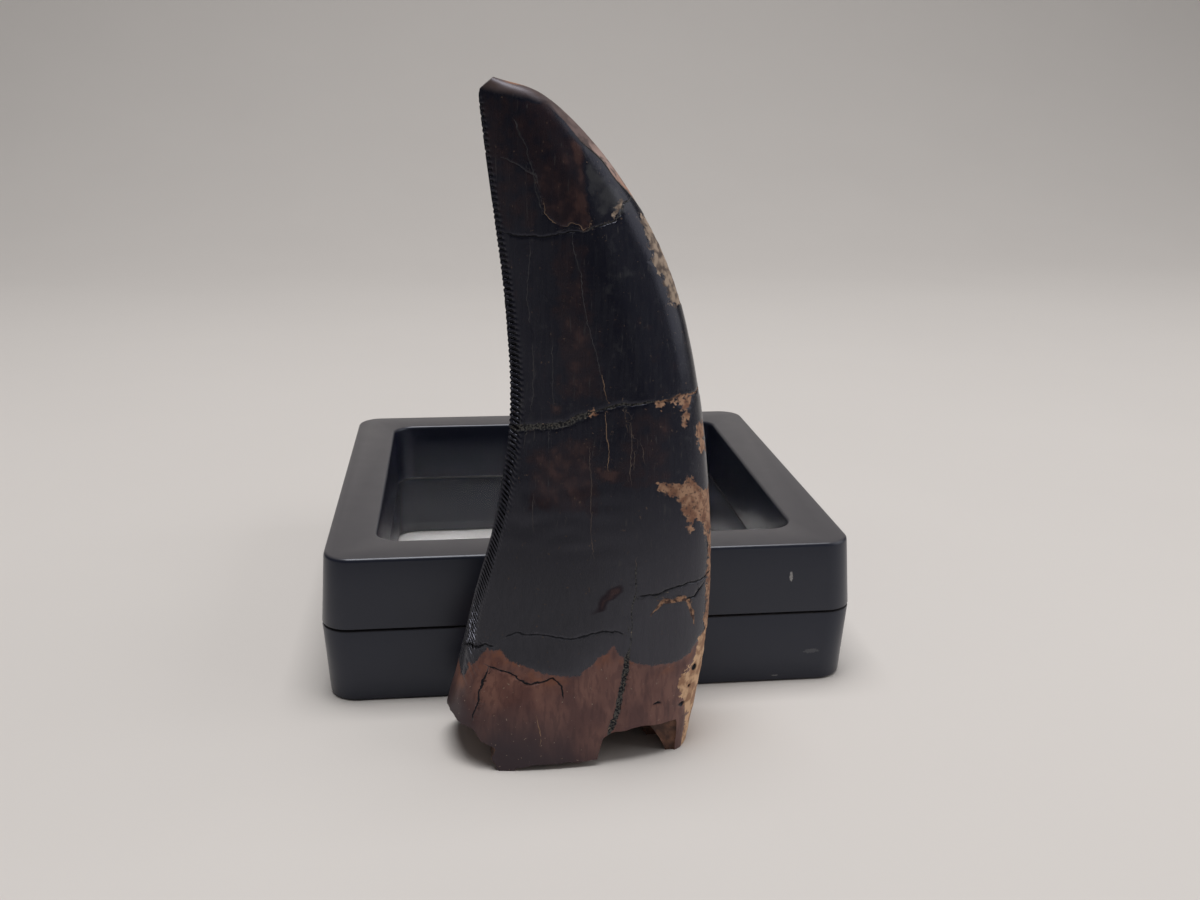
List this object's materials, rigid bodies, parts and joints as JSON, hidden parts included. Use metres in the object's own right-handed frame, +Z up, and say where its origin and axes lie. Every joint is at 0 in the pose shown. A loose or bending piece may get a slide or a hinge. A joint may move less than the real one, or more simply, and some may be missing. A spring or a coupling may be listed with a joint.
{
  "type": "fossil dinosaur tooth",
  "caption": "Curved, flattened fossil tooth with a serrated rear edge and a broken root, leaning on a square black display box with clear film windows.",
  "frame": {"origin": "on the floor, at the centre of the footprint of the tooth and the box together", "axes": "+Z up along the standing tooth, +X towards the tooth's rounded front edge, along the box's front, -Y towards the viewer, so +Y runs from the tooth into the depth of the box"},
  "size_m": [0.07, 0.0885, 0.0775],
  "materials": {
    "fossil_enamel": "satin",
    "black_plastic_lower": "matte",
    "black_plastic_upper": "matte",
    "clear_film_lower": "clear",
    "clear_film_upper": "clear"
  },
  "bodies": {
    "root": {"tooth": "fossil_enamel", "frame_lower": "black_plastic_lower", "frame_upper": "black_plastic_upper", "film_lower": "clear_film_lower", "film_upper": "clear_film_upper"}
  },
  "joints": []
}
